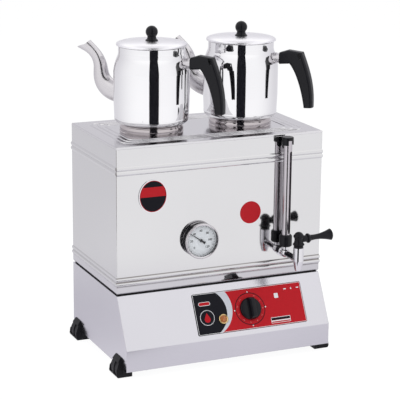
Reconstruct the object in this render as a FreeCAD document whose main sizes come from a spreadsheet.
import FreeCAD
import Part
import math
import operator
import os
import Sketcher
from types import SimpleNamespace
from FreeCAD import Placement, Rotation, Vector

# Electric tea boiler: a ribbed steel tank on a low cabinet, with two teapots on its top,
# one tap with a sight glass on the same shank, and a dial thermometer.
# Sizes are in millimetres. X points right, Y back and Z up. The origin lies on the floor,
# below the middle of the boiler's overall outline.

SIZES = dict(
    # tank and cabinet
    tank_width=390,
    tank_depth=224,
    tank_height=260,
    front_wall=-80,
    sheet_wall=1.0,
    seam_height=138.5,
    seam_gap=1.6,
    foot_height=15,
    lip_height=38,
    slope_offset=45,
    rim_flange=12,
    # pressed beads round the tank
    bead_half=3.8,
    bead_rise=1.6,
    low_bead=19.6,
    high_bead=45.7,
    bead_pitch=8.1,
    turn_in=4,
    # top plate
    fold_height=4,
    ridge_inset=24,
    ridge_step=10,
    ridge_corner=16,
    ridge_round=2.4,
    pot_left=-84,
    pot_right=88,
    pot_back=36,
    seat_hole=50,
    seat_reach=55.5,
    seat_height=13.9,
    # tank floor and heater
    floor_height=148,
    heater_left=-60,
    heater_back=36,
    heater_flange=32,
    heater_tube=4.2,
    heater_rise=26,
    heater_long=180,
    heater_gauge=15,
    # feet
    foot_long=37,
    foot_taper=6.5,
    foot_out=11,
    foot_in=17.5,
    foot_tall=34.5,
    foot_front=-107,
    foot_back=100,
    base_thick=1.2,
    # control panel, knob and lamp
    panel_left=-59,
    panel_right=153.4,
    panel_top=13.2,
    panel_bottom=87.2,
    panel_thick=0.8,
    knob_across=47.2,
    knob_down=50.9,
    knob_reach=20,
    knob_tall=17,
    knob_grip=11,
    spindle_round=3,
    lamp_across=-7.4,
    lamp_down=62.6,
    lamp_reach=8.9,
    # dial thermometer
    dial_across=-41.5,
    dial_height=223.3,
    dial_reach=31.5,
    dial_stand=14,
    needle_long=26.6,
    stem_round=4,
    # tap and sight glass
    tap_across=118.4,
    tap_height=186,
    tap_stand=66,
    tap_round=9.2,
    shank_round=6,
    glass_stand=16.5,
    guard_round=7.7,
    guard_slot=6,
    glass_round=4.5,
    glass_top=390,
    nut_low=198.8,
    nut_high=220,
    cap_top=396,
    lever_long=66,
    lever_rise=3,
    # teapots
    pot_turn=-48,
    pot_wall=0.9,
    pot_lift=0.3,
    pot_reach=67,
    pot_foot=56,
    pot_neck=58.6,
    pot_rim=137.4,
    lid_reach=62,
    lid_tall=5.9,
    lid_knob=10.7,
    bracket_height=108.5,
    ferrule_long=12,
    grip_wide=18,
)

# The spout's middle line: reach from the pot's axis, height over its foot, lean from level,
# and half the section's height and width.
SPOUT = [
    (58, 46, 10, 19.5, 16),
    (76, 50.5, 20, 18.3, 15.5),
    (91, 60, 48, 16.8, 14.5),
    (98.5, 74, 72, 14.6, 13.4),
    (100.5, 90, 80, 12.4, 12.4),
    (105, 105, 65, 10.7, 10.7),
    (115.5, 118, 48, 9.9, 9.9),
    (126.5, 126, 42, 11, 10.6),
    (141, 136.5, 50, 14.5, 13),
]

# The grip's middle line: reach, height, lean from level, section height and width.
GRIP_ARM = [
    (76, 109.5, 0, 21, 17),
    (92, 113, 4, 24.4, 18.5),
    (106.3, 112, -46, 31, 19.5),
]
GRIP_LEG = [
    (106.3, 112, -46, 31, 19.5),
    (117.4, 89, -64, 24.6, 19),
    (125.4, 64.5, -74, 21.8, 18.5),
    (129.8, 41, -81, 18.6, 17.5),
    (131.2, 25, -86, 16, 16.5),
]

GLAND_ACROSS = -140
GLAND_HEIGHT = 60
SCREW_ROW = (-155, 0, 150)
SCREW_INSET = 8
SCREW_HOLE = 2
FLANGE_LONG = 16
BASE_LIFT = 0.6
NEEDLE_TURN = 55.8
NEEDLE_PIN = 0.9
GLASS_TURN = 26
OPERATIONS = {"+": operator.add, "-": operator.sub, "*": operator.mul, "/": operator.truediv}
FULL_TURN = 360
TOO_SMALL = 1e-6

doc = FreeCAD.newDocument("tea_boiler")
nodes = {}


class Size:
    """A number together with the sheet formula that gives it."""

    def __init__(self, value, text):
        self.value = float(value)
        self.text = text

    def joined(self, sign, other, swap=False):
        other = as_size(other)
        first, second = (other, self) if swap else (self, other)
        value = OPERATIONS[sign](first.value, second.value)
        return Size(value, f"({first.text} {sign} {second.text})")

    def __add__(self, other):
        return self.joined("+", other)

    def __radd__(self, other):
        return self.joined("+", other, swap=True)

    def __sub__(self, other):
        return self.joined("-", other)

    def __rsub__(self, other):
        return self.joined("-", other, swap=True)

    def __mul__(self, other):
        return self.joined("*", other)

    def __rmul__(self, other):
        return self.joined("*", other, swap=True)

    def __truediv__(self, other):
        return self.joined("/", other)

    def __neg__(self):
        return self * -1

    def root(self):
        return Size(math.sqrt(self.value), f"sqrt({self.text})")


class Via(tuple):
    """The point that a round stretch of an outline passes on its way to the next corner."""


def as_size(number):
    if isinstance(number, Size):
        return number
    return Size(number, repr(float(number)))


def fill_sheet():
    """The sheet of driving sizes, and the same sizes for use in this file."""
    sheet = doc.addObject("Spreadsheet::Sheet", "dims")
    cells = dict(SIZES)
    for name, stations in (("spout", SPOUT), ("arm", GRIP_ARM), ("leg", GRIP_LEG)):
        for index, station in enumerate(stations):
            for part, number in zip(("out", "up", "lean", "tall", "wide"), station):
                cells[f"{name}_{index}_{part}"] = number
    for row, (alias, number) in enumerate(cells.items(), 1):
        sheet.set(f"A{row}", alias)
        sheet.set(f"B{row}", str(number))
        sheet.setAlias(f"B{row}", alias)
    doc.recompute()
    return SimpleNamespace(**{name: Size(value, f"dims.{name}") for name, value in cells.items()})


d = fill_sheet()

# Sizes that follow from the driving ones.
half_width = d.tank_width / 2
half_depth = d.tank_depth / 2
back_wall = d.front_wall + d.tank_depth
tank_middle = d.front_wall + half_depth
tank_base = d.seam_height + d.seam_gap / 2
tank_top = d.seam_height + d.tank_height
cabinet_top = d.seam_height - d.seam_gap / 2
bend_height = d.foot_height + d.lip_height
slope_rise = cabinet_top - bend_height
slope_long = (slope_rise * slope_rise + d.slope_offset * d.slope_offset).root()
slope_turn = math.degrees(math.atan2(slope_rise.value, d.slope_offset.value))
seat_top = tank_top + d.seat_height


def bind(thing, **sizes):
    """Set properties, tying each one that comes from the sheet to its formula."""
    for name, size in sizes.items():
        if isinstance(size, Size):
            thing.setExpression(name, size.text)
        else:
            setattr(thing, name, size)


def place(thing, x=0, y=0, z=0, axis=(0, 0, 1), angle=0):
    """Put a piece where it belongs, its place tied to the sheet."""
    spot = [as_size(v) for v in (x, y, z)]
    thing.Placement = Placement(Vector(*[v.value for v in spot]), Rotation(Vector(*axis), angle))
    for letter, size in zip("xyz", spot):
        thing.setExpression(f"Placement.Base.{letter}", size.text)


def keep(node, thing):
    """Note a piece under the name of its file."""
    thing.Label = node
    nodes[node] = thing
    return thing


def new_body(name):
    return doc.addObject("PartDesign::Body", name)


def new_sketch(body, plane, level=0, offset=None):
    """A sketch on one of the body's own planes, moved along its normal or by a placement."""
    sketch = body.newObject("Sketcher::SketchObject", body.Name + "_sketch")
    role = plane + "_Plane"
    support = next(item for item in body.Origin.OriginFeatures if item.Role == role)
    sketch.AttachmentSupport = [(support, "")]
    sketch.MapMode = "FlatFace"
    if offset is not None:
        sketch.AttachmentOffset = offset
    elif isinstance(level, Size):
        sketch.setExpression("AttachmentOffset.Base.z", level.text)
    elif level:
        sketch.AttachmentOffset = Placement(Vector(0, 0, level), Rotation())
    return sketch


def tie(sketch, edge, end, across, up):
    """Hold a corner at its place from the sketch's origin."""
    for kind, axis, size in (("DistanceX", -2, as_size(across)), ("DistanceY", -1, as_size(up))):
        if abs(size.value) < TOO_SMALL:
            sketch.addConstraint(Sketcher.Constraint("PointOnObject", edge, end, axis))
            continue
        made = sketch.addConstraint(Sketcher.Constraint(kind, -1, 1, edge, end, size.value))
        sketch.setExpression(f"Constraints[{made}]", size.text)


def draw(sketch, steps):
    """A closed outline through corners, with round stretches where a Via stands between two."""
    corners = [step for step in steps if not isinstance(step, Via)]
    bends = {}
    for index, step in enumerate(steps):
        if isinstance(step, Via):
            bends[sum(not isinstance(s, Via) for s in steps[:index]) - 1] = step
    spots = [Vector(as_size(a).value, as_size(b).value, 0) for a, b in corners]
    ends = []
    for index, start in enumerate(spots):
        finish = spots[(index + 1) % len(spots)]
        if index in bends:
            middle = Vector(as_size(bends[index][0]).value, as_size(bends[index][1]).value, 0)
            forward = (middle - start).cross(finish - start).z > 0
            first, last = (start, finish) if forward else (finish, start)
            edge = sketch.addGeometry(Part.Arc(first, middle, last), False)
            ends.append((edge, 1, 2) if forward else (edge, 2, 1))
        else:
            edge = sketch.addGeometry(Part.LineSegment(start, finish), False)
            ends.append((edge, 1, 2))
    for index, (edge, _, last) in enumerate(ends):
        follower, first, _ = ends[(index + 1) % len(ends)]
        sketch.addConstraint(Sketcher.Constraint("Coincident", edge, last, follower, first))
    for (edge, first, _), (across, up) in zip(ends, corners):
        tie(sketch, edge, first, across, up)
    for index, (across, up) in bends.items():
        spot = Vector(as_size(across).value, as_size(up).value, 0)
        point = sketch.addGeometry(Part.Point(spot), True)
        tie(sketch, point, 1, across, up)
        sketch.addConstraint(Sketcher.Constraint("PointOnObject", point, 1, ends[index][0]))
    return sketch


def crown(reach, low, rise):
    """The middle point of a round crown that rises from (reach, low) to the axis."""
    reach = as_size(reach)
    rise = as_size(rise)
    ball = (reach * reach + rise * rise) / (2 * rise)
    middle = low + rise - ball
    return Via((reach / 2, middle + (ball * ball - reach * reach / 4).root()))


def draw_circle(sketch, across, up, reach):
    spot = Vector(as_size(across).value, as_size(up).value, 0)
    reach = as_size(reach)
    edge = sketch.addGeometry(Part.Circle(spot, Vector(0, 0, 1), reach.value), False)
    tie(sketch, edge, 3, across, up)
    made = sketch.addConstraint(Sketcher.Constraint("Radius", edge, reach.value))
    sketch.setExpression(f"Constraints[{made}]", reach.text)
    return sketch


def box_steps(left, low, right, high):
    return [(left, low), (right, low), (right, high), (left, high)]


def pad(body, sketch, length, both=False, back=False):
    feature = body.newObject("PartDesign::Pad", body.Name + "_pad")
    feature.Profile = sketch
    bind(feature, Length=length, Midplane=both, Reversed=back)
    doc.recompute()
    return feature


def take_off(body, feature):
    """Recompute after a cut, which has to leave less of the body than before."""
    doc.recompute()
    before = feature.BaseFeature.Shape.Volume
    if not body.Shape.Volume < before - TOO_SMALL:
        raise RuntimeError(f"{feature.Name} cuts nothing")
    return feature


def pocket(body, sketch, length=None, both=False, back=False):
    """Cut along the sketch's normal, right through where no length is given."""
    feature = body.newObject("PartDesign::Pocket", body.Name + "_pocket")
    feature.Profile = sketch
    if length is None:
        feature.Type = 1
    else:
        bind(feature, Length=length)
    bind(feature, Midplane=both, Reversed=back)
    return take_off(body, feature)


def revolve(body, sketch):
    feature = body.newObject("PartDesign::Revolution", body.Name + "_turn")
    feature.Profile = sketch
    feature.ReferenceAxis = (sketch, ["V_Axis"])
    feature.Angle = FULL_TURN
    doc.recompute()
    return feature


def turned(name, steps):
    """A body turned round its own Z from one outline of radii and heights."""
    body = new_body(name)
    revolve(body, draw(new_sketch(body, "XZ"), steps))
    return body


def soften(body, feature, radius, choose, kind="Fillet"):
    """Round or chamfer the edges of a feature that a test picks out."""
    doc.recompute()
    names = []
    for index, edge in enumerate(feature.Shape.Edges, 1):
        if choose(edge):
            names.append(f"Edge{index}")
    if not names:
        raise RuntimeError(f"no edge to soften on {body.Name}")
    made = body.newObject("PartDesign::" + kind, body.Name + "_soft")
    made.Base = (feature, names)
    bind(made, **{"Radius" if kind == "Fillet" else "Size": radius})
    doc.recompute()
    return made


def at_height(height):
    """A test for edges that lie level at one height."""
    def test(edge):
        box = edge.BoundBox
        return box.ZLength < 0.01 and abs(box.ZMin - height) < 0.01
    return test


def cylinder(name, radius, height, **where):
    made = doc.addObject("Part::Cylinder", name)
    bind(made, Radius=radius, Height=height)
    place(made, **where)
    return made


def block(name, length, width, height, **where):
    made = doc.addObject("Part::Box", name)
    bind(made, Length=length, Width=width, Height=height)
    place(made, **where)
    return made


def cut(name, base, tool):
    made = doc.addObject("Part::Cut", name)
    made.Base = base
    made.Tool = tool
    return made


def overlap(name, base, tool):
    made = doc.addObject("Part::Common", name)
    made.Base = base
    made.Tool = tool
    return made


def fuse(name, *pieces):
    made = doc.addObject("Part::MultiFuse", name)
    made.Shapes = list(pieces)
    return made


def group(node, pieces):
    """Identical fasteners kept together as separate solids."""
    made = doc.addObject("Part::Compound", node)
    made.Links = pieces
    return keep(node, made)


def pipe(name, spots, bend, radius):
    """A round bar along straight runs joined by arcs of one bend radius."""
    edges = []
    last = spots[0]
    for before, corner, after in zip(spots, spots[1:], spots[2:]):
        into = (corner - before).normalize()
        out = (after - corner).normalize()
        half_turn = into.getAngle(out) / 2
        setback = bend * math.tan(half_turn)
        first = corner - into * setback
        finish = corner + out * setback
        inward = (out - into).normalize()
        middle = corner + inward * (bend / math.cos(half_turn) - bend)
        edges.append(Part.LineSegment(last, first).toShape())
        edges.append(Part.Arc(first, middle, finish).toShape())
        last = finish
    edges.append(Part.LineSegment(last, spots[-1]).toShape())
    path = Part.Wire(edges)
    ring = Part.Circle(spots[0], spots[1] - spots[0], radius).toShape()
    made = doc.addObject("Part::Feature", name)
    made.Shape = path.makePipeShell([Part.Wire([ring])], True, False)
    expected = math.pi * radius ** 2 * path.Length
    print(f"{name}: volume {made.Shape.Volume / expected:.4f} of section times length")
    return made


def ribbed_steps(half, inset):
    """One side view of the tank's wrap: two pairs of beads and an edge turned in below."""
    flange = half - d.rim_flange
    turn = half - d.turn_in
    right = [(flange, tank_base + inset), (turn, tank_base + inset)]
    slack = (d.turn_in - inset) * math.sqrt(0.5)
    right.append(Via((turn + slack, tank_base + d.turn_in - slack)))
    side = half - inset
    right.append((side, tank_base + d.turn_in))
    low = d.seam_height + d.low_bead
    high = tank_top - d.high_bead
    for middle in (low, low + d.bead_pitch, high, high + d.bead_pitch):
        right.append((side, middle - d.bead_half))
        right.append(Via((side + d.bead_rise, middle)))
        right.append((side, middle + d.bead_half))
    right.append((side, tank_top - d.fold_height))
    left = [type(step)((-step[0], step[1])) for step in reversed(right)]
    return right + left


def ribbed_block(name, inset):
    """The crossing of the wrap's two side views, so that the beads meet in mitres."""
    views = []
    spans = (("YZ", half_depth, d.tank_width), ("XZ", half_width, d.tank_depth))
    for plane, half, across in spans:
        body = new_body(f"{name}_{plane}")
        steps = ribbed_steps(half, inset)
        if inset:
            # the hollow runs on through the open top and the opening inside the flange
            flange = half - d.rim_flange
            middle = len(steps) // 2
            over = [(half - inset, tank_top), (inset - half, tank_top)]
            under = [(-flange, tank_base - inset), (flange, tank_base - inset)]
            steps = steps[:middle] + over + steps[middle:] + under
        pad(body, draw(new_sketch(body, plane), steps), across + 2 * d.bead_rise - 2 * inset, both=True)
        place(body, y=tank_middle)
        views.append(body)
    made = doc.addObject("Part::MultiCommon", name)
    made.Shapes = views
    return made


def make_jacket():
    wrap = cut("jacket_wrap", ribbed_block("jacket_outside", 0), ribbed_block("jacket_inside", d.sheet_wall))
    toward = dict(axis=(1, 0, 0), angle=90)
    reach = d.front_wall + 2 * d.rim_flange
    stem = cylinder("stem_hole", d.stem_round + 0.1, 30, x=d.dial_across, y=reach, z=d.dial_height, **toward)
    shank = cylinder("shank_hole", d.shank_round + 0.1, 30, x=d.tap_across, y=reach, z=d.tap_height, **toward)
    keep("tank_jacket", cut("tank_jacket", wrap, fuse("jacket_holes", stem, shank)))


def rounded_steps(half_x, half_y, corner):
    """A rectangle round the origin with round corners."""
    slack = corner * (1 - math.sqrt(0.5))
    steps = []
    for right, back in ((1, -1), (1, 1), (-1, 1), (-1, -1)):
        side = (half_x * right, (half_y - corner) * back)
        end = ((half_x - corner) * right, half_y * back)
        via = Via(((half_x - slack) * right, (half_y - slack) * back))
        steps += [end, via, side] if right * back < 0 else [side, via, end]
    return steps


def add_ridge(body, order):
    """One pressed ridge of the top plate, swept round a rounded rectangle."""
    inset = d.ridge_inset + order * d.ridge_step
    half_x = half_width - inset
    half_y = half_depth - inset
    path = new_sketch(body, "XY", level=d.fold_height)
    draw(path, rounded_steps(half_x, half_y, d.ridge_corner))
    profile = new_sketch(body, "XZ")
    # a low round cap standing a little proud of the plate
    left = half_x - d.ridge_round
    right = half_x + d.ridge_round
    top = d.fold_height + d.ridge_round / 2
    draw(profile, [(left, d.fold_height - 0.3), (right, d.fold_height - 0.3), Via((half_x, top))])
    sweep = body.newObject("PartDesign::AdditivePipe", body.Name + "_ridge")
    sweep.Profile = profile
    sweep.Spine = path
    doc.recompute()


def make_top_plate():
    body = new_body("top_plate")
    plate = new_sketch(body, "XY")
    draw(plate, box_steps(-half_width, -half_depth, half_width, half_depth))
    slab = pad(body, plate, d.fold_height)
    soften(body, slab, 1.6, at_height(d.fold_height.value))
    hollow = new_sketch(body, "XY")
    inner_x = half_width - d.sheet_wall
    inner_y = half_depth - d.sheet_wall
    draw(hollow, box_steps(-inner_x, -inner_y, inner_x, inner_y))
    pocket(body, hollow, d.fold_height - d.sheet_wall, back=True)
    for order in range(3):
        add_ridge(body, order)
    holes = new_sketch(body, "XY")
    for across in (d.pot_left, d.pot_right):
        draw_circle(holes, across, d.pot_back - tank_middle, d.seat_hole)
    pocket(body, holes, back=True)
    place(body, y=tank_middle, z=tank_top - d.fold_height)
    keep("top_plate", body)


def make_seat_ring(side, across):
    """A pressed collar, rolled over at its top, that carries one teapot."""
    top = d.seat_height
    outer = d.seat_reach
    inner = d.seat_hole + 1
    steps = [
        (outer + 1.5, 0),
        (outer, 1.2),
        Via((outer + 0.8, 6)),
        (outer - 1, top - 2.6),
        Via((outer - 1.8, top - 0.7)),
        (outer - 3.6, top),
        (inner, top),
        (inner, 0),
    ]
    body = turned(f"seat_ring_{side}", steps)
    place(body, x=across, y=d.pot_back, z=tank_top)
    keep(f"seat_ring_{side}", body)


def make_tank_floor():
    """The tank's bottom: a pan turned down at its edge, with holes for the heater and the sensor."""
    body = new_body("tank_floor")
    inner_x = half_width - d.sheet_wall
    inner_y = half_depth - d.sheet_wall
    low = tank_base + d.turn_in
    pan = new_sketch(body, "XY")
    draw(pan, box_steps(-inner_x, -inner_y, inner_x, inner_y))
    pad(body, pan, d.floor_height - low)
    hollow = new_sketch(body, "XY")
    wall = d.sheet_wall
    draw(hollow, box_steps(wall - inner_x, wall - inner_y, inner_x - wall, inner_y - wall))
    pocket(body, hollow, d.floor_height - low - wall, back=True)
    holes = new_sketch(body, "XY")
    for turn in (-1, 1):
        legs = d.heater_back - tank_middle + turn * d.heater_gauge
        draw_circle(holes, d.heater_left, legs, d.heater_tube + 0.1)
    draw_circle(holes, d.knob_across, 0, 3.6)
    pocket(body, holes, back=True)
    place(body, y=tank_middle, z=low)
    keep("tank_floor", body)


def make_seam_gasket():
    body = new_body("seam_gasket")
    strip = new_sketch(body, "XY")
    for inset in (3, d.rim_flange - 1):
        out_x = half_width - inset
        out_y = half_depth - inset
        draw(strip, box_steps(-out_x, -out_y, out_x, out_y))
    pad(body, strip, d.seam_gap)
    place(body, y=tank_middle, z=cabinet_top)
    keep("seam_gasket", body)


def slope_place(across, down, lift=0):
    """The frame of the sloping front: its X across, its Y up the slope and its Z outwards."""
    share_y = d.slope_offset / slope_long
    share_z = slope_rise / slope_long
    y = d.front_wall - down * share_y - lift * share_z
    z = cabinet_top - down * share_z + lift * share_y
    return dict(x=across, y=y, z=z, axis=(1, 0, 0), angle=slope_turn)


def slope_offset(across, down):
    """The same frame as a fixed placement inside a body that stands at the origin."""
    spot = slope_place(across, down)
    base = Vector(*[as_size(spot[letter]).value for letter in "xyz"])
    return Placement(base, Rotation(Vector(1, 0, 0), slope_turn))


def cabinet_steps(inset, bottom, top):
    """The cabinet's side view: upright back, front sloping out, and a lip that stands upright."""
    lean = inset * (slope_long / slope_rise)
    front = d.front_wall + lean
    foot = d.front_wall - d.slope_offset
    knee = bend_height + inset * (slope_long - slope_rise) / d.slope_offset
    return [
        (back_wall - inset, bottom),
        (back_wall - inset, top),
        (front - (cabinet_top - top) * (d.slope_offset / slope_rise), top),
        (foot + inset, knee),
        (foot + inset, bottom),
    ]


def make_case():
    """The whole folded case: open below, with a flange round its top, and holes for the controls."""
    body = new_body("case")
    wall = d.sheet_wall
    outside = new_sketch(body, "YZ")
    draw(outside, cabinet_steps(as_size(0), d.foot_height, cabinet_top))
    pad(body, outside, d.tank_width, both=True)
    inside = new_sketch(body, "YZ")
    draw(inside, cabinet_steps(wall, d.foot_height - 5, cabinet_top - wall))
    pocket(body, inside, d.tank_width - 2 * wall, both=True)
    for row in (d.front_wall - d.slope_offset + wall / 2, back_wall - wall / 2 - FLANGE_LONG):
        lip = new_sketch(body, "XY", level=d.foot_height + BASE_LIFT + d.base_thick)
        draw(lip, box_steps(wall / 2 - half_width, row, half_width - wall / 2, row + FLANGE_LONG))
        pad(body, lip, wall)
    drill_screws(body)
    opening = new_sketch(body, "XY", level=cabinet_top)
    near_x = half_width - d.rim_flange
    draw(opening, box_steps(-near_x, d.front_wall + d.rim_flange, near_x, back_wall - d.rim_flange))
    pocket(body, opening, 3)
    for across, down, reach in (
        (d.knob_across, d.knob_down, 6),
        (d.lamp_across, d.lamp_down, 6.2),
    ):
        hole = new_sketch(body, "XY", offset=slope_offset(across, down))
        draw_circle(hole, 0, 0, reach)
        pocket(body, hole, 6, both=True)
    gland = new_sketch(body, "XZ", level=-back_wall)
    draw_circle(gland, GLAND_ACROSS, GLAND_HEIGHT, 8.1)
    pocket(body, gland, 6, both=True)
    return body


def make_cabinet():
    """The case as it is folded: one wrap for front, cheeks and top, and a back sheet with its lip."""
    case = make_case()
    wall = d.sheet_wall
    spare = 2
    room = block(
        "back_room",
        d.tank_width - 2 * wall,
        FLANGE_LONG + 2 * spare,
        cabinet_top - wall - d.foot_height + spare,
        x=wall - half_width,
        y=back_wall - FLANGE_LONG - spare,
        z=d.foot_height - spare,
    )
    keep("cabinet", cut("wrap", case, room))
    keep("cabinet_back", overlap("back_sheet", case, room))


def screw_spots():
    """Where the closing plate's screws stand: three along the front and three along the back."""
    rows = (d.front_wall - d.slope_offset + SCREW_INSET, back_wall - SCREW_INSET)
    return [(across, row) for row in rows for across in SCREW_ROW]


def drill_screws(body):
    holes = new_sketch(body, "XY")
    for across, row in screw_spots():
        draw_circle(holes, across, row, SCREW_HOLE)
    pocket(body, holes, d.foot_height + 12, back=True)


def make_base_plate():
    """The closing plate under the cabinet, with rows of air slots and its screw holes."""
    body = new_body("base_plate")
    near_x = half_width - d.sheet_wall - 0.4
    front = d.front_wall - d.slope_offset + d.sheet_wall + 0.4
    back = back_wall - d.sheet_wall - 0.4
    plate = new_sketch(body, "XY")
    draw(plate, box_steps(-near_x, front, near_x, back))
    pad(body, plate, d.base_thick)
    drill_screws(body)
    holes = new_sketch(body, "XY")
    for across, row in foot_spots():
        draw_circle(holes, across, row, SCREW_HOLE + 0.1)
    pocket(body, holes, back=True)
    slot = new_sketch(body, "XY")
    draw(slot, [(-90, 26), Via((-92.5, 28.5)), (-90, 31), (-55, 31), Via((-52.5, 28.5)), (-55, 26)])
    cutter = pocket(body, slot, back=True)
    rows = body.newObject("PartDesign::LinearPattern", "vent_rows")
    rows.Originals = [cutter]
    rows.Direction = (slot, ["V_Axis"])
    rows.Length = 60
    rows.Occurrences = 6
    body.Tip = rows
    doc.recompute()
    if not body.Shape.Volume < cutter.Shape.Volume - TOO_SMALL:
        raise RuntimeError("the air slots were not repeated")
    place(body, z=d.foot_height + BASE_LIFT)
    keep("base_plate", body)


def make_base_screws():
    """Domed heads under the closing plate."""
    screws = []
    for across, row in screw_spots():
        name = f"base_screw_{len(screws)}"
        steps = [(0, -3.2), (2.4, -3.2), (3.8, -1.4), (3.8, 0), (1.9, 0), (1.9, 7), (0, 7)]
        screw = turned(name, steps)
        place(screw, x=across, y=row, z=d.foot_height + BASE_LIFT)
        screws.append(screw)
    group("base_screws", screws)


def foot_spots():
    """Where the feet's screws stand."""
    spots = []
    for side in (-1, 1):
        for back in (d.foot_front, d.foot_back):
            spots.append((side * (half_width - d.foot_in / 2), back + d.foot_long / 2))
    return spots


def make_foot(name, side, back):
    """A moulded corner foot: a curved cheek on the side wall and a pad under the cabinet."""
    body = new_body("foot_" + name)
    out = -d.foot_out
    tall = d.foot_tall
    steps = [
        (d.foot_in, 0),
        (d.foot_in, d.foot_height),
        (0, d.foot_height),
        (0, tall),
        (-1.2, tall),
        Via((out * 0.76, tall * 0.66)),
        (out, tall * 0.2),
        Via((out + 0.5, 2)),
        (out + 2.4, 0),
    ]
    pad(body, draw(new_sketch(body, "XZ"), steps), d.foot_long, both=True)
    for turn in (-1, 1):
        recess = new_sketch(body, "XZ", level=turn * d.foot_long / 4)
        hollow = [
            (out - 3, 4.5),
            (out + 1.5, 4.5),
            (out + 1.4, tall * 0.3),
            Via((out * 0.72, tall * 0.58)),
            (out * 0.42, tall * 0.76),
            (out - 3, tall * 0.76),
        ]
        pocket(body, draw(recess, hollow), d.foot_long / 2 - 4.5, both=True)
    half = d.foot_long / 2
    for turn in (-1, 1):
        flank = new_sketch(body, "YZ")
        draw(flank, [(turn * half, 5), (turn * half, tall + 1), (turn * (half - d.foot_taper), tall + 1)])
        pocket(body, flank, 20)
    bore = new_sketch(body, "XY")
    draw_circle(bore, d.foot_in / 2, 0, 4.4)
    pocket(body, bore, 9, back=True)
    shaft = new_sketch(body, "XY")
    draw_circle(shaft, d.foot_in / 2, 0, 2.2)
    pocket(body, shaft, back=True)
    if side > 0:
        place(body, x=half_width, y=back, angle=180)
    else:
        place(body, x=-half_width, y=back)
    keep("foot_" + name, body)


def make_foot_screws():
    screws = []
    for across, row in foot_spots():
        name = f"foot_screw_{len(screws)}"
        steps = [(0, 6.4), (3.9, 6.4), (3.9, 9), (2, 9), (2, 21), (0, 21)]
        screw = turned(name, steps)
        place(screw, x=across, y=row)
        screws.append(screw)
    group("foot_screws", screws)


def make_heater():
    """A hairpin of heating tube over the tank floor, on a flange that closes its opening."""
    left = d.heater_left.value
    back = d.heater_back.value
    gauge = d.heater_gauge.value
    high = d.floor_height.value + d.heater_rise.value
    low = d.floor_height.value - 16
    far = left + d.heater_long.value
    spots = [
        Vector(left, back - gauge, low),
        Vector(left, back - gauge, high),
        Vector(far, back - gauge, high),
        Vector(far, back + gauge, high),
        Vector(left, back + gauge, high),
        Vector(left, back + gauge, low),
    ]
    keep("heater_loop", pipe("heater_loop", spots, 12, d.heater_tube.value))
    body = new_body("heater_flange")
    disc = new_sketch(body, "XY")
    draw_circle(disc, 0, 0, d.heater_flange)
    pad(body, disc, 4)
    holes = new_sketch(body, "XY")
    for turn in (-1, 1):
        draw_circle(holes, 0, turn * d.heater_gauge, d.heater_tube + 0.05)
        draw_circle(holes, turn * 24, 0, 3.1)
    pocket(body, holes, back=True)
    place(body, x=d.heater_left, y=d.heater_back, z=d.floor_height - d.sheet_wall - 4)
    keep("heater_flange", body)
    nuts = []
    for turn in (-1, 1):
        nut = hexagon(f"heater_nut_{len(nuts)}", 5, 5)
        stud = new_sketch(nut, "XY", level=5)
        draw_circle(stud, 0, 0, 3)
        pad(nut, stud, 4)
        place(nut, x=d.heater_left + turn * 24, y=d.heater_back, z=d.floor_height - d.sheet_wall - 9)
        nuts.append(nut)
    group("heater_nuts", nuts)


def hexagon(name, flat, height, bore=None):
    """A nut: six flats, with a bore where one is given."""
    body = new_body(name)
    sketch = new_sketch(body, "XY")
    reach = as_size(flat) / math.cos(math.radians(30))
    spots = [(reach * math.cos(math.radians(60 * k)), reach * math.sin(math.radians(60 * k))) for k in range(6)]
    draw(sketch, spots)
    if bore is not None:
        draw_circle(sketch, 0, 0, bore)
    pad(body, sketch, height)
    return body


def make_thermostat():
    """The capillary thermostat behind the slope, its sensing tube and the cut-out on the tank."""
    case = block("thermostat_box", 36, 30, 20)
    bore = cylinder("thermostat_bore", d.spindle_round + 0.05, 14, x=18, y=15, z=8)
    body = cut("thermostat_case", case, bore)
    where = slope_place(d.knob_across, d.knob_down, lift=-21)
    shift = 18
    where["x"] = where["x"] - shift
    where["y"] = where["y"] - 15 * (d.slope_offset / slope_long)
    where["z"] = where["z"] - 15 * (slope_rise / slope_long)
    place(body, **where)
    keep("thermostat_case", body)
    across = d.knob_across.value
    floor = d.floor_height.value
    middle = tank_middle.value
    start = slope_place(d.knob_across, d.knob_down, lift=-20.5)
    low = start["z"].value
    bend = -46
    high = floor - 30
    spots = [
        Vector(across, start["y"].value, low),
        Vector(across, bend, low),
        Vector(across, bend, high),
        Vector(across, middle, high),
        Vector(across, middle, floor + 6),
    ]
    tube = pipe("capillary_tube", spots, 8, 1.1)
    bulb = cylinder("sensor_bulb", 3.5, 60, x=across, y=middle, z=floor - 8)
    keep("sensor_capillary", fuse("sensor_capillary", tube, bulb))
    steps = [(0, 0), (12, 0), (12, 3), (8.5, 3), (8.5, 12), (0, 12)]
    limiter = turned("safety_cutout", steps)
    place(limiter, x=130, y=tank_middle, z=d.floor_height - d.sheet_wall, axis=(1, 0, 0), angle=180)
    keep("safety_cutout", limiter)


def make_terminals():
    """The block that the supply would be wired to, standing on the base plate."""
    body = new_body("terminal_block")
    sketch = new_sketch(body, "XY")
    draw(sketch, box_steps(-26, -9, 26, 9))
    pad(body, sketch, 16)
    wires = new_sketch(body, "XZ")
    for pole in range(5):
        draw_circle(wires, -20 + 10 * pole, 8, 2.4)
    pocket(body, wires, both=True)
    place(body, x=-150, y=95, z=d.foot_height + 1.8)
    keep("terminal_block", body)


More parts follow.
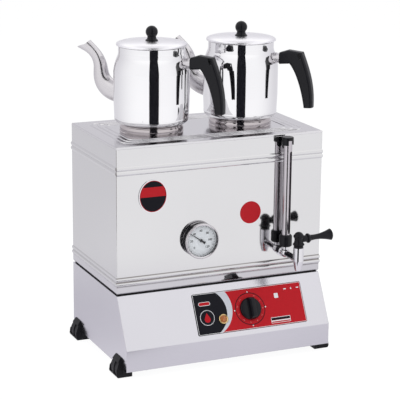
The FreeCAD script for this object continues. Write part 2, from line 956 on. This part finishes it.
def make_gland():
    """The cord's inlet: a domed bush in the back wall, held by a nut inside."""
    toward = dict(axis=(1, 0, 0), angle=-90)
    steps = [
        (4, -11),
        (8, -11),
        (8, 0),
        (12, 0),
        (12, 4),
        (11, 5),
        (11, 9),
        Via((9.4, 13)),
        (6, 14.5),
        (4, 14.5),
    ]
    body = turned("cord_gland", steps)
    place(body, x=GLAND_ACROSS, y=back_wall, z=GLAND_HEIGHT, **toward)
    keep("cord_gland", body)
    nut = hexagon("cord_gland_nut", 11, 5, 8)
    place(nut, x=GLAND_ACROSS, y=back_wall - d.sheet_wall - 5, z=GLAND_HEIGHT, **toward)
    keep("cord_gland_nut", nut)


def make_control_panel():
    body = new_body("control_panel")
    middle = (d.panel_left + d.panel_right) / 2
    half_x = (d.panel_right - d.panel_left) / 2
    centre = (d.panel_top + d.panel_bottom) / 2
    half_y = (d.panel_bottom - d.panel_top) / 2
    plate = new_sketch(body, "XY")
    draw(plate, rounded_steps(half_x, half_y, as_size(3)))
    pad(body, plate, d.panel_thick)
    holes = new_sketch(body, "XY")
    draw_circle(holes, d.knob_across - middle, centre - d.knob_down, 6)
    draw_circle(holes, d.lamp_across - middle, centre - d.lamp_down, 6.2)
    pocket(body, holes, back=True)
    place(body, **slope_place(middle, centre))
    keep("control_panel", body)


def make_lamp():
    """The pilot lamp: a turned bezel ring with a domed lens in it."""
    reach = d.lamp_reach
    face = d.panel_thick
    stem = as_size(5.1)
    head = as_size(6.4)
    ring = [
        (stem, -12),
        (stem + 1, -12),
        (stem + 1, face),
        (reach, face),
        (reach, face + 1),
        Via((reach - 0.5, face + 2.4)),
        (reach - 1.5, face + 3),
        (head, face + 2.3),
        (head, face + 0.6),
        (stem, face + 0.6),
    ]
    bezel = turned("lamp_bezel", ring)
    place(bezel, **slope_place(d.lamp_across, d.lamp_down))
    keep("lamp_bezel", bezel)
    dome = [(0, -8), (stem, -8), (stem, face + 0.6), (head, face + 0.6), (head, face + 1.6)]
    dome += [crown(head, face + 1.6, 2.4), (0, face + 4)]
    lens = turned("lamp_lens", dome)
    place(lens, **slope_place(d.lamp_across, d.lamp_down))
    keep("lamp_lens", lens)


def make_knob():
    """The thermostat knob: a low skirt with a raised grip bar across it, on its spindle."""
    body = new_body("thermostat_knob")
    reach = d.knob_reach
    skirt = [
        (d.spindle_round, 0),
        (reach, 0),
        (reach, 2.2),
        Via((reach - 0.8, 4.6)),
        (reach - 2.4, 5.6),
        Via((reach - 9, 7)),
        (0, 7.6),
        (0, 4),
        (d.spindle_round, 4),
    ]
    revolve(body, draw(new_sketch(body, "XZ"), skirt))
    half = d.knob_grip / 2
    bar = new_sketch(body, "XZ")
    steps = [
        (-half - 1.6, 4.8),
        (half + 1.6, 4.8),
        Via((half - 0.2, 10)),
        (half - 0.5, d.knob_tall - 1.4),
        Via((0, d.knob_tall)),
        (0.5 - half, d.knob_tall - 1.4),
        Via((0.2 - half, 10)),
    ]
    grip = pad(body, draw(bar, steps), 2 * reach, both=True)
    body.Tip = grip
    dome = [(0, 0), (reach, 0), (reach, 3), Via((reach - 1.4, 11)), (reach - 4.5, d.knob_tall), (0, d.knob_tall)]
    limit = turned("knob_limit", dome)
    made = doc.addObject("Part::Common", "knob_form")
    made.Base = body
    made.Tool = limit
    lift = d.panel_thick + 0.5
    place(made, **slope_place(d.knob_across, d.knob_down, lift))
    keep("thermostat_knob", made)
    spindle = cylinder("thermostat_spindle", d.spindle_round, 17.8)
    place(spindle, **slope_place(d.knob_across, d.knob_down, -12.5))
    keep("thermostat_spindle", spindle)


def on_front(across, height, stand=0):
    """A frame on the tank's front wall whose own Z points out of the wall."""
    return dict(x=across, y=d.front_wall - stand, z=height, axis=(1, 0, 0), angle=90)


def make_thermometer():
    """A dial thermometer: cup, bezel, glass, dial and needle, with its stem in the tank."""
    reach = d.dial_reach
    face = d.dial_stand
    where = on_front(d.dial_across, d.dial_height)
    pin_hole = NEEDLE_PIN + 0.05
    cup = [
        (0, 0),
        (reach - 4, 0),
        Via((reach - 2.3, 0.7)),
        (reach - 1.6, 2.4),
        (reach - 1.6, face - 2),
        (reach - 2.4, face - 2),
        (reach - 2.4, 6),
        (pin_hole, 6),
        (pin_hole, 2.5),
        (0, 2.5),
    ]
    bezel = [
        (reach - 1.6, face - 5),
        (reach, face - 4.4),
        (reach, face - 1.2),
        Via((reach - 0.7, face - 0.3)),
        (reach - 1.8, face),
        (reach - 3.6, face - 0.9),
        (reach - 3.6, face - 2),
        (reach - 1.6, face - 2),
    ]
    dial = [(1.3, 6), (reach - 2.4, 6), (reach - 2.4, 6.8), (1.3, 6.8)]
    glass = [(0, face - 3.4), (reach - 2.4, face - 3.4), (reach - 2.4, face - 2), (0, face - 2)]
    stem = [(0, -52), (3, -52), (d.stem_round, -50), (d.stem_round, 0), (0, 0)]
    for name, steps in (
        ("thermometer_case", cup),
        ("thermometer_bezel", bezel),
        ("thermometer_dial", dial),
        ("thermometer_glass", glass),
        ("thermometer_stem", stem),
    ):
        body = turned(name, steps)
        place(body, **where)
        keep(name, body)
    nut = hexagon("thermometer_nut", 8, 4, d.stem_round)
    place(nut, **on_front(d.dial_across, d.dial_height, -d.sheet_wall - 4))
    keep("thermometer_nut", nut)
    make_needle(where)


def make_needle(where):
    """The needle, pointing at the reading in the picture, with a weighted tail and a hub pin."""
    body = new_body("thermometer_needle")
    sketch = new_sketch(body, "XY", level=7.6)
    steps = [
        (-0.35, d.needle_long),
        (-0.9, 3),
        Via((-2.3, 0)),
        (-1.3, -3.2),
        (-2.6, -9.4),
        (2.6, -9.4),
        (1.3, -3.2),
        Via((2.3, 0)),
        (0.9, 3),
        (0.35, d.needle_long),
    ]
    pad(body, draw(sketch, steps), 0.6)
    hub = new_sketch(body, "XY", level=2.8)
    draw_circle(hub, 0, 0, NEEDLE_PIN)
    pad(body, hub, 6.4)
    frame = Placement(Vector(), Rotation(Vector(1, 0, 0), 90)).multiply(
        Placement(Vector(), Rotation(Vector(0, 0, 1), NEEDLE_TURN))
    )
    place(body, x=where["x"], y=where["y"], z=where["z"])
    body.Placement = Placement(body.Placement.Base, frame.Rotation)
    keep("thermometer_needle", body)


def make_tap_shank():
    """One casting: threaded shank, wall flange, tee for the sight glass and pipe to the tap."""
    body = new_body("tap_shank")
    stand = d.glass_stand
    ball = 8.2
    root = 5.6
    steps = [
        (3.6, -16),
        (d.shank_round, -16),
        (d.shank_round, 0),
        (9.5, 0),
        (9.5, 2.6),
        (7, 4),
        (root, 7),
        (root, stand - 6),
        Via((ball, stand)),
        (root, stand + 6),
        (root, d.tap_stand - d.tap_round + 1.5),
        (3.6, d.tap_stand - d.tap_round + 1.5),
    ]
    revolve(body, draw(new_sketch(body, "XZ"), steps))
    stub = new_sketch(body, "XZ")
    draw_circle(stub, 0, stand, 5)
    pad(body, stub, d.nut_low - d.tap_height + 6, back=True)
    bore = new_sketch(body, "XZ")
    draw_circle(bore, 0, stand, 3)
    pocket(body, bore)
    place(body, **on_front(d.tap_across, d.tap_height))
    keep("tap_shank", body)
    nut = hexagon("tap_wall_nut", 10, 6, d.shank_round)
    place(nut, **on_front(d.tap_across, d.tap_height, -d.sheet_wall - 6))
    keep("tap_wall_nut", nut)


def make_tap():
    """The tap: a tapered chrome body, a plug that turns in it, and a moulded handle on top."""
    top = 23
    low = -18.5
    reach = d.tap_round
    shell = [
        (4, low),
        (5.2, low),
        (5.8, low + 1),
        Via((7.7, -9)),
        (reach, -1),
        (reach, top),
        (6.6, top),
        (6.6, -9),
        (4, -11),
    ]
    body = new_body("tap_body")
    revolve(body, draw(new_sketch(body, "XZ"), shell))
    inlet = new_sketch(body, "XZ")
    draw_circle(inlet, 0, 0, 5.7)
    pocket(body, inlet, 20, back=False)
    front = dict(x=d.tap_across, y=d.front_wall - d.tap_stand)
    place(body, z=d.tap_height, **front)
    keep("tap_body", body)
    bonnet = [(3.2, top), (8.4, top), (8.4, top + 3.6), (7.6, top + 4.4), (3.2, top + 4.4)]
    collar = turned("tap_bonnet", bonnet)
    place(collar, z=d.tap_height, **front)
    keep("tap_bonnet", collar)
    plug = new_body("tap_plug")
    rod = [(0, -8.6), (6.5, -8.6), (6.5, 14), (3.1, 16), (3.1, top + 8), (0, top + 8)]
    revolve(plug, draw(new_sketch(plug, "XZ"), rod))
    port = new_sketch(plug, "YZ")
    draw_circle(port, 0, 0, 3.4)
    pocket(plug, port, both=True)
    place(plug, z=d.tap_height, **front)
    keep("tap_plug", plug)
    make_tap_handle(top + 4.7, front)


def make_tap_handle(low, front):
    """The moulded head with its hub, ring and trumpet lever, in one piece."""
    head = new_body("tap_head")
    dome = low + 18.4
    steps = [
        (3.1, low),
        (9.2, low),
        Via((10.3, low + 1.2)),
        (9.2, low + 2.6),
        Via((7.6, low + 7)),
        (8.2, low + 13.2),
        Via((9.5, low + 15.6)),
        (8, dome),
        crown(8, dome, 5.2),
        (0, dome + 5.2),
        (0, low + 3.3),
        (3.1, low + 3.3),
    ]
    revolve(head, draw(new_sketch(head, "XZ"), steps))
    lever = new_body("tap_lever")
    long = d.lever_long
    trumpet = [
        (0, 2),
        (5.6, 6),
        (6, 15),
        (8, 16),
        Via((8.5, 18)),
        (7.6, 20),
        (5.4, 22.5),
        Via((4.7, 36)),
        (6.4, 48),
        Via((8, 55)),
        (10.2, long - 4),
        crown(10.2, long - 4, 4),
        (0, long),
    ]
    revolve(lever, draw(new_sketch(lever, "XZ"), trumpet))
    place(lever, z=low + 9.6, axis=(0, 1, 0), angle=90 - d.lever_rise.value)
    handle = fuse("tap_handle", head, lever)
    place(handle, z=d.tap_height, **front)
    keep("tap_handle", handle)


def make_sight_glass():
    """The sight glass: a glass tube in a slotted guard, between a nut and a windowed cap."""
    where = dict(x=d.tap_across, y=d.front_wall - d.glass_stand)
    low = d.nut_low
    high = d.nut_high
    seat = low + 7.4
    outer = 11.4
    nut = [
        (5, low),
        (outer - 1.6, low),
        (outer, low + 1.6),
        (outer, high - 2.4),
        (outer - 2, high),
        (d.guard_round, high),
        (d.guard_round, seat),
        (5, seat),
    ]
    glass = [
        (d.glass_round - 1, seat),
        (d.glass_round, seat),
        (d.glass_round, d.glass_top),
        (d.glass_round - 1, d.glass_top),
    ]
    for name, steps in (("glass_nut", nut), ("glass_tube", glass)):
        body = turned(name, steps)
        place(body, **where)
        keep(name, body)
    guard = new_body("guard_tube")
    ring = new_sketch(guard, "XY", level=seat)
    draw_circle(ring, 0, 0, d.guard_round)
    draw_circle(ring, 0, 0, d.guard_round - 1)
    pad(guard, ring, d.glass_top + 1 - seat)
    slot = new_sketch(guard, "XZ")
    half = d.guard_slot / 2
    slot_low = high + 2
    slot_high = d.glass_top - 19
    steps = [
        (-half, slot_low + half),
        Via((0, slot_low)),
        (half, slot_low + half),
        (half, slot_high - half),
        Via((0, slot_high)),
        (-half, slot_high - half),
    ]
    pocket(guard, draw(slot, steps), 12, back=True)
    place(guard, angle=GLASS_TURN, **where)
    keep("guard_tube", guard)
    make_guard_cap(where)


def make_guard_cap(where):
    """The moulded cap: a band with a window in front and a rounded tongue behind."""
    top = d.cap_top
    steps = [
        (0, top),
        (9.4, top),
        (10.1, top - 0.8),
        (10.1, top - 22),
        (d.guard_round, top - 22),
        (d.guard_round, d.glass_top + 1),
        (0, d.glass_top + 1),
    ]
    cap = turned("guard_cap", steps)
    side = new_sketch(cap, "XZ")
    away = 12
    tongue = 4.6
    around = [
        (-away, top - 14),
        (-tongue, top - 14),
        (-tongue, top - 17.5),
        Via((0, top - 22)),
        (tongue, top - 17.5),
        (tongue, top - 14),
        (away, top - 14),
        (away, top - 26),
        (-away, top - 26),
    ]
    pocket(cap, draw(side, around), both=True)
    window = new_sketch(cap, "XZ")
    draw(window, box_steps(-7, top - 26, 7, top - 5.5))
    pocket(cap, window, 14, back=True)
    place(cap, angle=GLASS_TURN, **where)
    keep("guard_cap", cap)


def station_offset(out, up, lean, side):
    """The frame of one section: its normal runs along the middle line, side is 1 or -1 for X."""
    turn = (90 - lean) * side
    return Placement(Vector(out * side, 0, up), Rotation(Vector(0, 1, 0), turn))


def spout_section(body, index, wall):
    """One round or oval section of the spout, square to its middle line."""
    out, up, lean, tall, wide = SPOUT[index]
    sketch = new_sketch(body, "XY", offset=station_offset(out, up, lean, -1))
    high = d.__dict__[f"spout_{index}_tall"] - wall
    broad = d.__dict__[f"spout_{index}_wide"] - wall
    if abs(high.value - broad.value) < TOO_SMALL:
        draw_circle(sketch, 0, 0, high)
    else:
        edge = sketch.addGeometry(Part.Ellipse(Vector(), high.value, broad.value), False)
        sketch.exposeInternalGeometry(edge)
    return sketch


def loft(body, kind, sections, ruled=False):
    feature = body.newObject("PartDesign::" + kind, body.Name + "_loft")
    feature.Profile = sections[0]
    feature.Sections = sections[1:]
    feature.Ruled = ruled
    doc.recompute()
    return feature


def pot_side():
    """The pot's outer side between its rounded foot and its neck, from below."""
    reach = d.pot_reach
    return [
        (reach - 1.2, 12),
        (reach, 40),
        (reach, 91),
        Via((reach - 2.3, 104)),
        (d.pot_neck + 2, 116),
    ]


def turn_off(body, steps):
    """Turn the back of a piece off on a curve round the pot's own axis."""
    sketch = draw(new_sketch(body, "XZ"), steps)
    groove = body.newObject("PartDesign::Groove", body.Name + "_back")
    groove.Profile = sketch
    groove.ReferenceAxis = (sketch, ["V_Axis"])
    groove.Angle = FULL_TURN
    take_off(body, groove)


def make_spout(side, where):
    """A swan neck spout: a tapered hollow horn, cut to the pot's wall and to a beak at its mouth."""
    body = new_body(f"spout_{side}")
    count = range(len(SPOUT))
    loft(body, "AdditiveLoft", [spout_section(body, k, 0) for k in count])
    loft(body, "SubtractiveLoft", [spout_section(body, k, d.pot_wall) for k in count])
    turn_off(body, [(0, 12)] + pot_side() + [(0, 116)])
    mouth = new_sketch(body, "XZ")
    steps = [
        (-121.5, 136.5),
        Via((-127.5, 130)),
        (-131, 129),
        Via((-137, 127)),
        (-145, 122.8),
        (-175, 122),
        (-175, 165),
        (-118, 165),
    ]
    pocket(body, draw(mouth, steps), both=True)
    place(body, **where)
    keep(f"spout_{side}", body)


def make_pot_shell(side, where):
    """The pot: a barrel with a rounded foot, a drawn-in neck and a rolled rim."""
    wall = d.pot_wall
    foot = d.pot_foot
    reach = d.pot_reach
    neck = d.pot_neck
    rim = d.pot_rim
    outside = [
        (0, -3.4),
        (d.seat_hole - 2, -3.4),
        (d.seat_hole - 1.6, 0),
        (foot, 0),
        Via((foot + 7.2, 3)),
    ]
    outside += pot_side()
    outside += [
        Via((neck + 0.2, 121.5)),
        (neck, 127),
        (neck, rim - 2.2),
        Via((neck + 1.8, rim - 1)),
        (neck, rim),
    ]
    inside = [
        (neck - wall, rim),
        (neck - wall, 127),
        (neck + 0.2 - wall, 121.4),
        (neck + 2 - wall, 115.6),
        (reach - 2.6 - wall, 103.6),
        (reach - wall, 91),
        (reach - wall, 40),
        (reach - 1.2 - wall, 12),
        (foot + 6.3, 3.9),
        (foot, wall),
        (d.seat_hole - 2.4, wall),
        (d.seat_hole - 2.8, -2.5),
        (0, -2.5),
    ]
    body = turned(f"pot_{side}", outside + inside)
    hole = new_sketch(body, "YZ")
    draw_circle(hole, 0, 50, 13)
    pocket(body, hole, 90, back=False)
    if body.Shape.isInside(Vector(reach.value - wall.value / 2, 0, 50), TOO_SMALL, True) is False:
        raise RuntimeError("the spout's opening is on the handle's side")
    place(body, **where)
    keep(f"pot_{side}", body)


def make_bracket(side, where):
    """The handle's bracket: a curved plate on the pot's shoulder and a round ferrule."""
    body = new_body(f"handle_bracket_{side}")
    high = d.bracket_height
    plate = new_sketch(body, "YZ", level=61)
    half = 7
    tall = 9.4
    steps = [
        (-half, high - tall + 3),
        (3 - half, high - tall),
        (half - 3, high - tall),
        (half, high - tall + 3),
        (half, high + tall - 3),
        (half - 3, high + tall),
        (3 - half, high + tall),
        (-half, high + tall - 3),
    ]
    pad(body, draw(plate, steps), 7)
    ferrule = new_sketch(body, "YZ", level=64)
    draw_circle(ferrule, 0, high + 0.6, 8.8)
    pad(body, ferrule, d.ferrule_long)
    turn_off(body, [(0, 12)] + pot_side() + [(d.pot_neck + 2, 130), (0, 130)])
    place(body, **where)
    keep(f"handle_bracket_{side}", body)


def grip_section(body, name, index, stations):
    """One section of the grip: a rectangle with round corners, square to the middle line."""
    out, up, lean, _, _ = stations[index]
    sketch = new_sketch(body, "XY", offset=station_offset(out, up, lean, 1))
    tall = d.__dict__[f"{name}_{index}_tall"] / 2
    wide = d.__dict__[f"{name}_{index}_wide"] / 2
    return draw(sketch, rounded_steps(tall, wide, as_size(5)))


def make_grip(side, where):
    """The moulded grip: a level arm that turns down at an elbow into a long tapering leg."""
    body = new_body(f"grip_{side}")
    arm = [grip_section(body, "arm", k, GRIP_ARM) for k in range(len(GRIP_ARM))]
    loft(body, "AdditiveLoft", arm, ruled=True)
    leg = [grip_section(body, "leg", k, GRIP_LEG) for k in range(len(GRIP_LEG))]
    loft(body, "AdditiveLoft", leg)
    eye = new_sketch(body, "XZ")
    draw(eye, [(110.5, 120.6), Via((112.6, 121.6)), (114.4, 119.6), (117.4, 112.2), Via((116.2, 110.2)), (114, 111.6)])
    pocket(body, eye, both=True)
    place(body, **where)
    keep(f"handle_grip_{side}", body)


def make_lid(side, where):
    """The lid: a short skirt with a round shoulder, a low dome and a plug ring, with its turned knob."""
    wall = d.pot_wall
    rim = d.pot_rim + 0.3
    neck = d.pot_neck
    reach = d.lid_reach
    top = rim + d.lid_tall
    lid = [
        (0, top),
        (11, top),
        Via((32, top - 0.2)),
        (50, top - 0.8),
        Via((56.4, top - 1.7)),
        (60.2, top - 3.1),
        Via((reach - 0.3, top - 4.2)),
        (reach, rim),
        Via((reach - 0.5, rim - 1.3)),
        (reach - 1.1, rim - 0.9),
        (reach - 1.1, rim + 0.4),
        (neck - 1.6, rim + 0.4),
        (neck - 1.6, rim - 6),
        (neck - 2.4, rim - 6),
        (neck - 2.4, top - 3),
        (50, top - 0.8 - wall),
        (32, top - 0.2 - wall),
        (11, top - wall),
        (0, top - wall),
    ]
    body = turned(f"lid_{side}", lid)
    place(body, **where)
    keep(f"lid_{side}", body)
    ball = d.lid_knob
    base = top
    middle = base + 15.7
    throat = as_size(7.9)
    knob = [
        (0, base),
        (10.8, base),
        Via((11, base + 0.9)),
        (10.2, base + 2),
        Via((8.2, base + 4.4)),
        (throat, middle - (ball * ball - throat * throat).root()),
        Via((ball, middle)),
        (0, middle + ball),
    ]
    nut = [(0, base - 4.4), (3.4, base - 4.4), (3.4, base - wall), (0, base - wall)]
    for name, steps in (("lid_knob", knob), ("lid_nut", nut)):
        piece = turned(f"{name}_{side}", steps)
        place(piece, **where)
        keep(f"{name}_{side}", piece)


def make_teapot(side, across):
    where = dict(x=across, y=d.pot_back, z=seat_top + d.pot_lift, angle=d.pot_turn.value)
    make_pot_shell(side, where)
    make_spout(side, where)
    make_bracket(side, where)
    make_grip(side, where)
    make_lid(side, where)


def check_document():
    """Stop on any failed object, and on any piece that isn't a sound solid."""
    doc.recompute()
    failed = [item.Name for item in doc.Objects if {"Invalid", "Error"} & set(item.State)]
    if failed:
        raise RuntimeError(f"failed objects: {failed}")
    for node, thing in nodes.items():
        shape = thing.Shape
        if shape.isNull() or not shape.isValid() or not shape.Solids:
            raise RuntimeError(f"{node} is not a sound solid")


def write_parts():
    os.makedirs("parts", exist_ok=True)
    for node, thing in nodes.items():
        thing.Shape.exportStep(f"parts/{node}.step")
    print(f"{len(nodes)} pieces written")


make_jacket()
make_top_plate()
make_seat_ring("left", d.pot_left)
make_seat_ring("right", d.pot_right)
make_tank_floor()
make_seam_gasket()
make_cabinet()
make_base_plate()
make_base_screws()
for along, row in (("front", d.foot_front), ("back", d.foot_back)):
    make_foot(f"{along}_left", -1, row + d.foot_long / 2)
    make_foot(f"{along}_right", 1, row + d.foot_long / 2)
make_foot_screws()
make_heater()
make_thermostat()
make_terminals()
make_gland()
make_control_panel()
make_lamp()
make_knob()
make_thermometer()
make_tap_shank()
make_tap()
make_sight_glass()
make_teapot("left", d.pot_left)
make_teapot("right", d.pot_right)
check_document()
write_parts()
